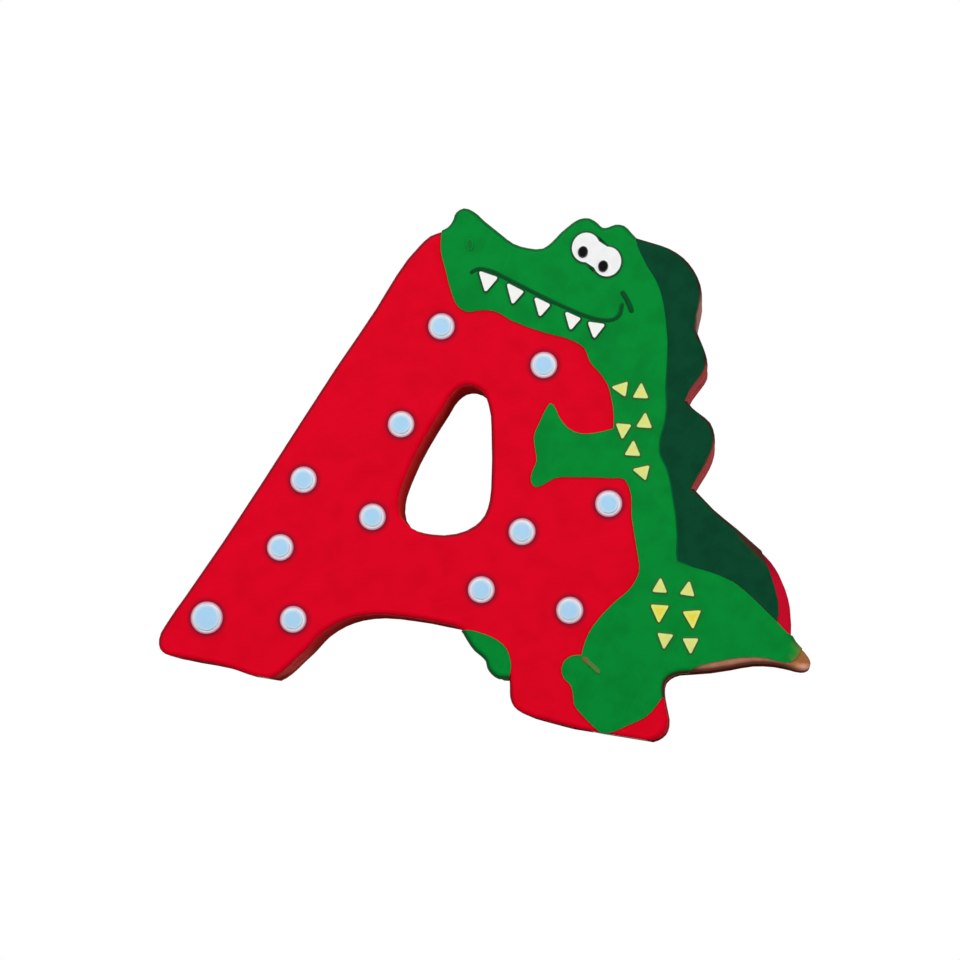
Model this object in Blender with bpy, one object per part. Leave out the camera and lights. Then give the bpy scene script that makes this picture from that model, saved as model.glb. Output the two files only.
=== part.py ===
# Jigsaw-cut wooden letter A with an alligator painted over its right leg.
# It stands on its two soles at Z = 0 and faces -Y, with its box centred on X and Y.
# The drawing is flat: x runs right from the left heel and y runs up from the soles.
# Sizes are in millimetres, and become metres where the meshes are made.

import math

import bmesh
import bpy
from mathutils import Vector
from mathutils.geometry import interpolate_bezier

MM = 0.001

# Board
LETTER_WIDTH = 101.0
LETTER_HEIGHT = 79.4
BOARD_THICKNESS = 9.0
GLUE_LINE = 0.05
EDGE_RADIUS = 0.7

# Paint films, from the wood outwards
BASE_COAT = 0.2
TOP_COAT = 0.15
DETAIL_COAT = 0.12
FILM_GAP = 0.05
ZONE_GAP = 0.03
BARE_BACK_EDGE = 0.4
GREEN_SKIRT = 0.3

# Painted details
DOT_GROUND = 4.2
DOT_BLUE = 3.0
HEEL_DOT_GROUND = 5.1
HEEL_DOT_BLUE = 4.0
TOOTH_WIDTH = 3.4
TOOTH_LENGTH = 3.1
TOOTH_CORNER = 0.35
TOOTH_CLEARANCE = 0.28
MARK_WIDTH = 2.9
MARK_LENGTH = 2.9
MARK_CORNER = 0.3
EYE_WIDTH = 4.6
EYE_HEIGHT = 4.95
EYE_BRIDGE = 4.1
PUPIL_WIDTH = 1.6
PUPIL_HEIGHT = 1.9
NOSTRIL_WIDTH = 1.2
NOSTRIL_HEIGHT = 2.0
LINE_WIDTH = 0.45
TOE_WIDTH = 0.75

# How finely curves are drawn
CHORD_ERROR = 0.05
EDGE_STEPS = 3
CORNER_STEPS = 3
ROUND_SIDES = 32
SMOOTH_BELOW = math.radians(50)
NARROWEST_CORNER = 0.5

# Outline of the letter, anticlockwise from the left heel; a third value marks a corner
SHARP = True
LEFT_FOOT = [
    (0.1, 3.4), (0.5, 2.0), (1.5, 1.3), (3.4, 1.1), (10.6, 0.9), (13.2, 0.6), (15.3, 0.2),
    (17.6, -0.3), (19.0, 0.3), (20.5, 1.6), (21.9, 3.4),
]
ARCH = [
    (23.6, 5.6), (25.5, 8.4), (27.9, 10.5), (30.4, 11.8), (33.8, 12.7), (38.5, 13.0), (44.0, 12.9),
]
REAR_FOOT = [
    (47.0, 12.5), (48.5, 10.9), (49.7, 9.7), (50.9, 9.0), (51.8, 8.3), (52.2, 7.3), (53.0, 6.5),
    (54.1, 6.0), (55.0, 6.1), (55.7, 6.3, SHARP),
]
RIGHT_LEG = [
    (56.0, 4.8), (56.3, 3.3), (57.1, 2.0), (58.6, 1.2), (61.5, 0.7), (64.5, 0.4), (68.0, 0.1),
    (73.5, -0.3), (78.0, 0.0), (79.5, 0.6), (80.6, 1.7), (80.9, 3.1), (80.0, 6.2), (79.4, 8.1),
]
TAIL = [
    (79.4, 9.6), (80.5, 10.8), (83.1, 11.6), (86.0, 12.3), (88.8, 13.2), (92.3, 14.4), (95.5, 14.8),
    (98.0, 14.7), (99.7, 14.6), (100.7, 15.0), (101.0, 15.8), (100.5, 16.7), (98.2, 18.6),
    (97.4, 19.6, SHARP),
]
CREST = [
    (97.2, 21.2), (96.6, 23.8), (95.5, 26.4), (94.2, 28.5), (92.6, 30.3), (90.6, 31.8), (86.6, 34.4),
    (82.6, 36.8), (80.4, 38.5), (79.0, 39.6, SHARP),
    (79.8, 41.6), (80.8, 44.1), (81.2, 46.4), (80.9, 48.4), (80.0, 50.1), (78.3, 51.2), (76.9, 52.0),
    (75.9, 53.0, SHARP),
    (76.4, 54.5), (77.4, 56.4), (78.2, 58.3), (77.9, 60.0), (76.9, 62.0), (75.5, 64.3, SHARP),
    (75.6, 66.5), (75.7, 69.0), (75.1, 71.4), (73.7, 73.6), (71.8, 75.3), (69.4, 76.4), (66.8, 76.9),
]
HEAD = [
    (64.1, 77.3, SHARP), (63.1, 78.1), (61.9, 79.0), (60.6, 79.0), (59.5, 78.4), (58.6, 78.2),
    (57.7, 78.8), (56.3, 79.4), (54.9, 79.1), (53.8, 78.2), (52.4, 76.6), (51.1, 74.7), (49.9, 73.6),
    (47.6, 73.3), (45.0, 73.7), (42.8, 74.9), (39.9, 76.6), (37.9, 77.9), (36.4, 78.2), (35.4, 77.4),
    (35.1, 76.0), (34.5, 74.9), (33.4, 74.1),
]
LEFT_LEG = [
    (31.8, 73.2), (30.3, 71.3), (28.9, 69.1), (27.6, 66.4), (25.2, 60.4), (20.6, 50.4), (12.0, 30.4),
    (7.6, 20.4), (2.9, 10.4), (1.0, 6.4),
]
OUTLINE = LEFT_FOOT + ARCH + REAR_FOOT + RIGHT_LEG + TAIL + CREST + HEAD + LEFT_LEG

# Hole of the A, clockwise from its top
COUNTER = [
    (42.2, 50.5), (44.2, 49.8), (45.4, 48.0), (46.8, 42.6), (47.8, 36.5), (48.1, 33.0), (47.7, 30.6),
    (46.5, 28.8), (43.8, 27.1), (40.1, 26.4), (36.6, 26.9), (34.5, 28.6), (33.9, 31.2), (34.4, 34.9),
    (36.1, 40.7), (38.4, 46.3), (39.6, 49.0), (40.7, 50.1),
]

# Where green meets red, from above the A's peak down to the front foot
JAW_LINE = [
    (33.4, 76.0), (33.6, 73.6), (34.0, 70.8), (35.3, 67.9), (36.8, 64.5), (38.2, 62.5), (39.6, 61.9),
    (42.0, 62.5), (44.0, 62.6), (47.0, 61.5), (52.3, 60.4), (57.2, 59.7), (58.9, 58.9), (60.2, 56.8),
    (61.8, 55.5), (63.4, 53.8), (64.4, 51.6), (65.2, 49.0), (65.4, 47.0, SHARP),
]
ARM_LINE = [
    (62.7, 45.9), (60.5, 45.5), (58.6, 46.0), (56.8, 47.6), (55.8, 49.1), (55.2, 49.5), (54.6, 48.6),
    (54.0, 46.6), (53.4, 43.8), (54.0, 41.7), (54.4, 40.3), (54.0, 38.2), (54.1, 36.8), (54.9, 36.1),
    (56.0, 36.6), (57.6, 37.9), (60.9, 38.6), (66.5, 39.3), (68.4, 39.4), (69.3, 38.3),
]
BELLY_LINE = [
    (70.5, 33.6), (72.0, 29.0), (72.9, 25.4), (72.3, 23.4), (69.6, 19.9), (67.2, 16.1), (66.4, 13.6),
    (66.2, 11.5, SHARP),
]
FOOT_LINE = [
    (64.9, 11.2), (63.8, 10.3), (63.5, 8.9), (64.0, 7.6), (65.3, 6.6), (65.9, 5.2), (66.3, 3.8),
    (67.5, 2.6), (69.4, 1.2), (71.6, 0.1), (73.2, 0.8), (75.2, 2.1), (77.4, 3.6), (78.6, 5.2),
    (79.4, 6.8), (80.6, 8.0),
]
GREEN_LINE = JAW_LINE + ARM_LINE + BELLY_LINE + FOOT_LINE

# Where green meets the dark crest, from above the head down to the tail
CREST_LINE = [
    (63.8, 79.0), (64.1, 77.3), (65.3, 75.0), (66.7, 73.0), (68.2, 71.3), (69.6, 68.8), (70.7, 65.6),
    (71.6, 62.0), (72.1, 57.8), (72.4, 54.5), (73.0, 51.6), (73.1, 49.4), (72.8, 46.6), (73.1, 44.2),
    (74.6, 41.9), (75.7, 39.2), (77.0, 35.2), (77.8, 31.8), (78.1, 29.2), (78.5, 28.0, SHARP),
    (80.8, 27.6), (83.8, 27.2), (87.4, 26.3), (89.6, 25.1), (93.4, 22.4), (95.0, 21.3),
]
# The red crescent left bare of green between the crest and the tail
CRESCENT_LINE = [
    (95.0, 21.3), (95.0, 23.0), (94.6, 24.7), (93.8, 26.6), (92.6, 29.0), (91.4, 31.0), (90.4, 33.0),
]
TAIL_ROOT_LINE = [(95.0, 21.3), (96.1, 20.4), (97.3, 19.6), (100.0, 20.4)]
# Where the green ends short of the worn edge under the tail and round its tip
TAIL_EDGE_LINE = [
    (82.4, 10.2), (82.9, 11.6), (83.6, 12.3), (84.7, 12.9), (86.1, 13.5), (88.5, 14.4), (90.4, 15.0),
    (92.6, 15.4), (94.2, 15.5), (95.6, 15.4), (97.1, 15.3), (98.2, 15.6), (98.9, 16.4), (99.3, 17.4),
    (99.7, 18.8),
]
# Where the rear foot under the arch meets red
REAR_FOOT_LINE = [
    (54.9, 4.4), (55.7, 6.4), (55.8, 7.6), (55.4, 9.2), (54.6, 10.6), (53.2, 11.6), (51.4, 12.2),
    (49.5, 12.5), (47.5, 12.4), (46.0, 11.4),
]

# Points clear of the letter that close each painted zone round it
PAST_TAIL_TIP = [(103.0, 20.4)]
ABOVE_HEAD = [(63.4, 84.0), (33.2, 84.0)]
RIGHT_OF_CREST = [(94.0, 40.0), (88.0, 62.0), (84.0, 84.0), (63.6, 84.0)]
UNDER_REAR_FOOT = [(45.5, 10.2)]

# Places of the painted details
DOTS = [
    (36.1, 59.0), (53.1, 55.3), (32.4, 42.7), (18.6, 31.7), (30.4, 27.6), (16.8, 20.6), (20.8, 9.8),
    (54.0, 28.9), (49.2, 19.0), (63.3, 18.0), (66.6, 35.3),
]
HEEL_DOT = (7.2, 7.9)
EYES = [(56.65, 74.7), (60.3, 72.95)]
PUPILS = [(56.3, 73.9), (59.8, 72.1)]
NOSTRIL = (38.4, 72.6)
NOSTRIL_TURN = math.radians(12)
MOUTH = [
    (39.4, 68.2), (40.1, 68.8), (41.2, 69.0), (42.8, 68.8), (44.6, 68.2), (50.5, 66.2), (56.5, 64.4),
    (59.2, 63.8), (61.2, 63.7), (62.7, 64.0), (63.5, 64.8), (63.7, 66.5),
]
# Each tooth's place along the mouth, and its size next to the middle one
TEETH = [(0.108, 1.1), (0.283, 1.06), (0.46, 1.0), (0.656, 0.96), (0.802, 0.96)]
CHEEK = [(63.5, 68.4), (64.5, 67.2), (65.3, 65.8)]
TOE = [(66.7, 10.95), (67.9, 10.3), (69.2, 9.35)]
# Each scale mark's middle, the way its tip points, in degrees from the right, and its size next to the others
MARKS = [
    (65.7, 53.4, 180, 1.0), (68.8, 53.2, 96, 1.0), (70.1, 48.7, 94, 1.0), (67.0, 47.1, -86, 1.0),
    (69.0, 44.1, 95, 1.0), (71.0, 41.0, 175, 1.0), (76.5, 23.7, 95, 0.95), (80.8, 23.9, 90, 0.95),
    (77.0, 20.0, -84, 1.13), (82.1, 19.9, -77, 1.13), (78.5, 15.9, -87, 1.0), (82.5, 15.8, -81, 1.0),
]

# Heights from the back of the board
WOOD_INSET = BASE_COAT + FILM_GAP
FACE = BOARD_THICKNESS + WOOD_INSET
TOP_COAT_BASE = FACE + FILM_GAP
DETAIL_BASE = TOP_COAT_BASE + TOP_COAT + FILM_GAP
PUPIL_BASE = DETAIL_BASE + DETAIL_COAT + FILM_GAP
TOTAL_THICKNESS = PUPIL_BASE + DETAIL_COAT

X_STRETCH = LETTER_WIDTH / max(point[0] for point in OUTLINE)
Y_STRETCH = LETTER_HEIGHT / max(point[1] for point in OUTLINE)


# Drawing tools

def place(point):
    return Vector((point[0] * X_STRETCH, point[1] * Y_STRETCH))


def handles(points, sharp, closed):
    # Each point's tangent follows a parabola through it and its neighbours; a corner has none.
    tangents = []
    last = len(points) - 1
    for i, point in enumerate(points):
        if sharp[i] or (not closed and i in (0, last)):
            tangents.append(None)
            continue
        back = point - points[i - 1]
        ahead = points[(i + 1) % len(points)] - point
        tangent = back.normalized() * ahead.length + ahead.normalized() * back.length
        tangents.append(tangent.normalized())
    return tangents


def drawn(controls, closed):
    # Samples the smooth curve through the control points, finely where it turns.
    points = [place(control) for control in controls]
    sharp = [len(control) > 2 for control in controls]
    tangents = handles(points, sharp, closed)
    samples = []
    for i in range(len(points) if closed else len(points) - 1):
        j = (i + 1) % len(points)
        start, end = points[i], points[j]
        reach = (end - start).length / 3
        leave = start + (tangents[i] * reach if tangents[i] else (end - start) / 3)
        arrive = end - (tangents[j] * reach if tangents[j] else (end - start) / 3)
        turn = (leave - start).angle(arrive - leave) + (arrive - leave).angle(end - arrive)
        steps = max(1, math.ceil(math.sqrt((end - start).length * turn / (8 * CHORD_ERROR))))
        curve = interpolate_bezier(start.to_3d(), leave.to_3d(), arrive.to_3d(), end.to_3d(), steps + 1)
        samples += [point.to_2d() for point in curve[:-1]]
    if not closed:
        samples.append(points[-1])
    return samples


def planed(loop, level):
    # Sands everything below this level flat.
    return [Vector((point.x, max(point.y, level))) for point in loop]


def left_of(direction):
    return Vector((-direction.y, direction.x)).normalized()


def inset(loop, distance):
    # Moves a closed loop to its left, into the wood, keeping its sides parallel.
    moved = []
    for i, point in enumerate(loop):
        before = left_of(point - loop[i - 1])
        after = left_of(loop[(i + 1) % len(loop)] - point)
        middle = (before + after).normalized()
        moved.append(point + middle * (distance / max(middle.dot(before), NARROWEST_CORNER)))
    return moved


def oval(width, height):
    turns = [2 * math.pi * i / ROUND_SIDES for i in range(ROUND_SIDES)]
    return [Vector((width / 2 * math.cos(turn), height / 2 * math.sin(turn))) for turn in turns]


def rounded(corners, radius):
    # Replaces each corner of an anticlockwise polygon by an arc that meets both its sides.
    loop = []
    for i, corner in enumerate(corners):
        back = (corners[i - 1] - corner).normalized()
        ahead = (corners[(i + 1) % len(corners)] - corner).normalized()
        half = back.angle(ahead) / 2
        centre = corner + (back + ahead).normalized() * (radius / math.sin(half))
        first = -left_of(-back) * radius
        sweep = math.pi - 2 * half
        for step in range(CORNER_STEPS + 1):
            turn = sweep * step / CORNER_STEPS
            cos, sin = math.cos(turn), math.sin(turn)
            loop.append(centre + Vector((first.x * cos - first.y * sin, first.x * sin + first.y * cos)))
    return loop


def ribbon(path, width):
    # A painted line of even width with round ends.
    sides = []
    for way in (path, path[::-1]):
        for i, point in enumerate(way):
            ahead = way[min(i + 1, len(way) - 1)] - way[max(i - 1, 0)]
            sides.append(point - left_of(ahead) * (width / 2))
        tip = (way[-1] - way[-2]).normalized()
        for step in range(1, CORNER_STEPS):
            turn = math.pi * step / CORNER_STEPS
            out = -left_of(tip) * math.cos(turn) + tip * math.sin(turn)
            sides.append(way[-1] + out * (width / 2))
    return sides


def along(path, share):
    # The point at this share of a path's length, and the path's direction there.
    lengths = [(b - a).length for a, b in zip(path, path[1:])]
    left = share * sum(lengths)
    for start, end, length in zip(path, path[1:], lengths):
        if left <= length:
            break
        left -= length
    direction = (end - start).normalized()
    return start + direction * left, direction


# Making solids

def new_material(name, colour, roughness):
    material = bpy.data.materials.new(name)
    material.use_nodes = True
    shader = material.node_tree.nodes["Principled BSDF"]
    shader.inputs["Base Color"].default_value = (*colour, 1.0)
    shader.inputs["Roughness"].default_value = roughness
    shader.inputs["Metallic"].default_value = 0.0
    material.diffuse_color = (*colour, 1.0)
    return material


def layered_mesh(name, loops, stations):
    # One closed solid through the loops, drawn at each (inset, height) station in turn.
    bm = bmesh.new()
    levels = []
    for depth, height in stations:
        level = []
        for loop in loops:
            ring = [bm.verts.new((p.x * MM, p.y * MM, height * MM)) for p in inset(loop, depth)]
            level.append(ring)
        levels.append(level)
    for lower, upper in zip(levels, levels[1:]):
        for below, above in zip(lower, upper):
            for i in range(len(below)):
                bm.faces.new((below[i - 1], below[i], above[i], above[i - 1]))
    for level in (levels[0], levels[-1]):
        edges = [bm.edges.get((ring[i - 1], ring[i])) for ring in level for i in range(len(ring))]
        bmesh.ops.triangle_fill(bm, use_beauty=True, edges=edges)
    bmesh.ops.triangulate(bm, faces=bm.faces)
    bmesh.ops.recalc_face_normals(bm, faces=bm.faces)
    mesh = bpy.data.meshes.new(name)
    bm.to_mesh(mesh)
    bm.free()
    mesh.shade_smooth()
    mesh.set_sharp_from_angle(angle=SMOOTH_BELOW)
    return mesh


def piece(name, mesh, material, middle=(0.0, 0.0), turn=0.0):
    obj = bpy.data.objects.new(name, mesh)
    bpy.context.scene.collection.objects.link(obj)
    if not mesh.materials:
        mesh.materials.append(material)
    obj.parent = letter
    obj.location = (middle[0] * MM, middle[1] * MM, 0.0)
    obj.rotation_euler = (0.0, 0.0, turn)
    return obj


def hidden(obj):
    obj.hide_render = True
    obj.display_type = "WIRE"
    return obj


def join_with(obj, other, operation):
    boolean = obj.modifiers.new("Shape", "BOOLEAN")
    boolean.operation = operation
    boolean.object = other


def edge_stations(offset, back):
    # Up the side from this height, then over the rounded front edge, this far outside the red surface.
    radius = EDGE_RADIUS + offset
    stations = [(-offset, back)]
    for step in range(EDGE_STEPS + 1):
        turn = math.pi / 2 * step / EDGE_STEPS
        depth = EDGE_RADIUS - radius * math.sin(turn)
        stations.append((EDGE_RADIUS - radius * math.cos(turn), FACE - depth))
    return stations


def shell_stations(inner, outer, back):
    return edge_stations(inner, back)[::-1] + edge_stations(outer, back)


def plate_stations(base, thickness):
    return [(0.0, base), (0.0, base + thickness)]


# Clear the scene
for old in list(bpy.data.objects):
    bpy.data.objects.remove(old)

RED = new_material("red_enamel", (0.69, 0.002, 0.016), 0.35)
GREEN = new_material("green_enamel", (0.002, 0.23, 0.032), 0.35)
DARK_GREEN = new_material("dark_green_enamel", (0.003, 0.054, 0.024), 0.35)
WHITE = new_material("white_enamel", (0.87, 0.85, 0.86), 0.4)
BLUE = new_material("pale_blue_enamel", (0.41, 0.65, 0.86), 0.4)
YELLOW = new_material("yellow_enamel", (0.72, 0.7, 0.16), 0.4)
BLACK = new_material("black_enamel", (0.008, 0.009, 0.009), 0.3)
OLIVE = new_material("olive_enamel", (0.14, 0.13, 0.03), 0.4)
FACE_WOOD = new_material("birch_face", (0.62, 0.44, 0.26), 0.6)
CROSS_WOOD = new_material("birch_cross_grain", (0.5, 0.34, 0.19), 0.65)

outline = planed(drawn(OUTLINE, True), 0.0)
counter = drawn(COUNTER, True)
face_loops = [outline, counter]

# The letter's own axes: x right, y up and z towards the viewer
letter = bpy.data.objects.new("letter", None)
bpy.context.scene.collection.objects.link(letter)
left_edge = min(point.x for point in outline)
right_edge = max(point.x for point in outline)
letter.location = (-(left_edge + right_edge) / 2 * MM, TOTAL_THICKNESS / 2 * MM, -WOOD_INSET * MM)
letter.rotation_euler = (math.pi / 2, 0.0, 0.0)

# Five glued plies, the front one rounded under the paint
PLIES = ["back_veneer", "rear_crossband", "core_ply", "front_crossband", "front_veneer"]
ply_thickness = (BOARD_THICKNESS - GLUE_LINE * (len(PLIES) - 1)) / len(PLIES)
for i, name in enumerate(PLIES):
    base = i * (ply_thickness + GLUE_LINE)
    if name == PLIES[-1]:
        stations = edge_stations(-WOOD_INSET, base)
    else:
        stations = [(WOOD_INSET, base), (WOOD_INSET, base + ply_thickness)]
    wood = CROSS_WOOD if name.endswith("crossband") else FACE_WOOD
    piece(name, layered_mesh(name, face_loops, stations), wood)


def zone(name, loop):
    # A prism that keeps a film inside one painted zone and above the soles.
    kept = planed(inset(loop, ZONE_GAP / 2), WOOD_INSET)
    prism = layered_mesh(name, [kept], plate_stations(-FACE, FACE * 3))
    return hidden(piece(name, prism, RED))


# Red over the front, its rounded edge and the sides, left off the soles the letter stands on
red_stations = shell_stations(-BASE_COAT, 0.0, BARE_BACK_EDGE)
base_coat = piece("red_base_coat", layered_mesh("red_base_coat", face_loops, red_stations), RED)
margin = LETTER_WIDTH
above_soles = [
    Vector((-margin, 0.0)), Vector((2 * margin, 0.0)),
    Vector((2 * margin, LETTER_HEIGHT + margin)), Vector((-margin, LETTER_HEIGHT + margin)),
]
join_with(base_coat, zone("above_soles", above_soles), "INTERSECT")

# Greens over the red, all cut from one film
green_line = drawn(GREEN_LINE, False)
crest_line = drawn(CREST_LINE, False)
crescent_line = drawn(CRESCENT_LINE, False)
tail_root_line = drawn(TAIL_ROOT_LINE, False)
rear_foot_line = drawn(REAR_FOOT_LINE, False)
tail_edge_line = drawn(TAIL_EDGE_LINE, False)
past_tail_tip = [place(point) for point in PAST_TAIL_TIP]
above_head = [place(point) for point in ABOVE_HEAD]
right_of_crest = [place(point) for point in RIGHT_OF_CREST]
under_rear_foot = [place(point) for point in UNDER_REAR_FOOT]
ZONES = [
    ("alligator_coat", GREEN,
     green_line + tail_edge_line + past_tail_tip + tail_root_line[::-1] + crest_line[-2::-1] + above_head),
    ("crest_coat", DARK_GREEN, crest_line + crescent_line[1:] + right_of_crest),
    ("rear_foot_coat", GREEN, rear_foot_line + under_rear_foot),
]
green_stations = shell_stations(FILM_GAP, FILM_GAP + TOP_COAT, FACE - EDGE_RADIUS - GREEN_SKIRT)
for name, paint, loop in ZONES:
    coat = piece(name, layered_mesh(name, face_loops, green_stations), paint)
    join_with(coat, zone(name.replace("coat", "zone"), loop), "INTERSECT")

# Polka dots: a white ground with a smaller blue top
dot_places = [(place(dot), DOT_GROUND, DOT_BLUE) for dot in DOTS]
dot_places.append((place(HEEL_DOT), HEEL_DOT_GROUND, HEEL_DOT_BLUE))
for i, (middle, ground, blue) in enumerate(dot_places, 1):
    ground_mesh = layered_mesh("dot_ground", [oval(ground, ground)], plate_stations(TOP_COAT_BASE, TOP_COAT))
    piece(f"dot_ground_{i:02d}", ground_mesh, WHITE, middle)
    blue_mesh = layered_mesh("dot_blue", [oval(blue, blue)], plate_stations(DETAIL_BASE, DETAIL_COAT))
    piece(f"dot_blue_{i:02d}", blue_mesh, BLUE, middle)

# Eyes: two white ovals that run together over a broad bridge, each with a black pupil
detail = plate_stations(DETAIL_BASE, DETAIL_COAT)
eye_oval = layered_mesh("eye_whites", [oval(EYE_WIDTH, EYE_HEIGHT)], detail)
eye_whites = piece("eye_whites", eye_oval, WHITE, place(EYES[0]))
second_eye = hidden(piece("second_eye", eye_oval, WHITE, place(EYES[1])))
eye_bridge_mesh = layered_mesh("eye_bridge", [ribbon([place(eye) for eye in EYES], EYE_BRIDGE)], detail)
eye_bridge = hidden(piece("eye_bridge", eye_bridge_mesh, WHITE))
join_with(eye_whites, second_eye, "UNION")
join_with(eye_whites, eye_bridge, "UNION")
pupil_stations = plate_stations(PUPIL_BASE, DETAIL_COAT)
pupil_oval = layered_mesh("pupil", [oval(PUPIL_WIDTH, PUPIL_HEIGHT)], pupil_stations)
for side, spot in zip(("left", "right"), PUPILS):
    piece(f"pupil_{side}", pupil_oval, BLACK, place(spot))

# Lines drawn on the head and foot
mouth = drawn(MOUTH, False)
for name, path, width, paint in [
    ("mouth_line", mouth, LINE_WIDTH, DARK_GREEN),
    ("cheek_line", drawn(CHEEK, False), LINE_WIDTH, DARK_GREEN),
    ("toe_line", drawn(TOE, False), TOE_WIDTH, OLIVE),
]:
    piece(name, layered_mesh(name, [ribbon(path, width)], detail), paint)
nostril = layered_mesh("nostril_mark", [oval(NOSTRIL_WIDTH, NOSTRIL_HEIGHT)], detail)
piece("nostril_mark", nostril, DARK_GREEN, place(NOSTRIL), NOSTRIL_TURN)

# Teeth hang straight down from the mouth line
for i, (share, size) in enumerate(TEETH, 1):
    middle, direction = along(mouth, share)
    root = Vector((0.0, -LINE_WIDTH / 2 - TOOTH_CLEARANCE))
    half = direction * (TOOTH_WIDTH / 2 * size)
    tip = root - Vector((0.0, TOOTH_LENGTH * size))
    tooth_loop = rounded([root - half, tip, root + half], TOOTH_CORNER)
    piece(f"tooth_{i}", layered_mesh("tooth", [tooth_loop], detail), WHITE, middle)

# Yellow scale marks, each a triangle that points its own way
mark_corners = [
    Vector((MARK_LENGTH * 2 / 3, 0.0)),
    Vector((-MARK_LENGTH / 3, MARK_WIDTH / 2)),
    Vector((-MARK_LENGTH / 3, -MARK_WIDTH / 2)),
]
for i, (x, y, tip, size) in enumerate(MARKS, 1):
    mark_loop = rounded([corner * size for corner in mark_corners], MARK_CORNER)
    mark_mesh = layered_mesh("scale_mark", [mark_loop], detail)
    piece(f"scale_mark_{i:02d}", mark_mesh, YELLOW, place((x, y)), math.radians(tip))
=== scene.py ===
# Dresses the wooden letter: brushed enamel over birch ply, on a white studio floor.
import math

import bmesh
import bpy
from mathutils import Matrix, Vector


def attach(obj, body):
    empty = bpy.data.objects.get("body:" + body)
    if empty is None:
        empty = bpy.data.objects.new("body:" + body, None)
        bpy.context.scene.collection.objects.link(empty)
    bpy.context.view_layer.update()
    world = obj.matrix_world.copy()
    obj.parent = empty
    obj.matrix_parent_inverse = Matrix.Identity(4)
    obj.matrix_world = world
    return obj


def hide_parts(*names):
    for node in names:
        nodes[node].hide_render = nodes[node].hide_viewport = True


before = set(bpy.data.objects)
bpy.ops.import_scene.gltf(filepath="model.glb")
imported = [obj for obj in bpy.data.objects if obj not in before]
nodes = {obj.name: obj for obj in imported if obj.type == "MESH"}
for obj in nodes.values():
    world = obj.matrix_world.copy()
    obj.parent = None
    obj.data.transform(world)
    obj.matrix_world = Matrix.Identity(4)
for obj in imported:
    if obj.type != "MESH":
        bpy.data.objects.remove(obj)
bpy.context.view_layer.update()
scene = bpy.context.scene
mm = 0.001
print("frame loaded:", len(nodes), "nodes")


class Wire:
    # one output socket that can be used in sums
    def __init__(self, bench, socket):
        self.bench = bench
        self.socket = socket

    def maths(self, operation, first, second):
        return self.bench.node("ShaderNodeMath", {"operation": operation}, {0: first, 1: second})

    def __add__(self, other):
        return self.maths("ADD", self, other)

    def __radd__(self, other):
        return self.maths("ADD", other, self)

    def __sub__(self, other):
        return self.maths("SUBTRACT", self, other)

    def __rsub__(self, other):
        return self.maths("SUBTRACT", other, self)

    def __mul__(self, other):
        return self.maths("MULTIPLY", self, other)

    def __rmul__(self, other):
        return self.maths("MULTIPLY", other, self)


class Bench:
    # a node tree to build a finish on
    def __init__(self, tree):
        self.tree = tree

    def node(self, kind, settings, inputs, output=0):
        made = self.tree.nodes.new(kind)
        for key, value in settings.items():
            setattr(made, key, value)
        for key, value in inputs.items():
            self.plug(made.inputs[key], value)
        return Wire(self, made.outputs[output])

    def plug(self, socket, value):
        if isinstance(value, Wire):
            self.tree.links.new(value.socket, socket)
        elif socket.type == "RGBA" and len(value) == 3:
            socket.default_value = (*value, 1.0)
        else:
            socket.default_value = value

    def spot(self):
        return self.node("ShaderNodeTexCoord", {}, {}, "Object")

    def axis(self, letter):
        return self.node("ShaderNodeSeparateXYZ", {}, {0: self.spot()}, letter)

    def carried(self, layer):
        # a value that the points of the mesh carry
        return self.node("ShaderNodeAttribute", {"attribute_name": layer}, {}, "Fac")

    def turned(self, letter):
        # how far the surface turns towards X, Y or Z
        normal = self.node("ShaderNodeNewGeometry", {}, {}, "Normal")
        return self.node("ShaderNodeSeparateXYZ", {}, {0: normal}, letter)

    def noise(self, size, stretch=(1, 1, 1), turn=0.0, detail=3.0):
        # size is the width of one blotch in millimetres, stretch draws it out along X, Y or Z
        scale = tuple(1 / (size * mm * share) for share in stretch)
        laid = self.node("ShaderNodeMapping", {}, {
            "Vector": self.node("ShaderNodeMapping", {}, {"Vector": self.spot(), "Rotation": (0, turn, 0)}),
            "Scale": scale,
        })
        return self.node("ShaderNodeTexNoise", {}, {"Vector": laid, "Scale": 1.0, "Detail": detail})

    def ease(self, value, low, high):
        # 0 below low, 1 above high, smooth between
        return self.node("ShaderNodeMapRange", {"interpolation_type": "SMOOTHSTEP"},
                         {"Value": value, "From Min": low, "From Max": high})

    def band(self, value, edges):
        # the same, with its two edges in millimetres
        return self.ease(value, edges[0] * mm, edges[1] * mm)

    def blend(self, mask, first, second):
        return self.node("ShaderNodeMix", {"data_type": "RGBA"}, {0: mask, 6: first, 7: second}, 2)

    def bump(self, height, depth, strength):
        inputs = {"Height": height, "Distance": depth * mm, "Strength": strength}
        return self.node("ShaderNodeBump", {}, inputs)


def newFinish(name, gloss):
    material = bpy.data.materials.new(name)
    material.use_nodes = True
    bench = Bench(material.node_tree)
    shader = material.node_tree.nodes["Principled BSDF"]
    shader.inputs["Specular IOR Level"].default_value = gloss
    return material, bench, shader


# Studio

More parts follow.
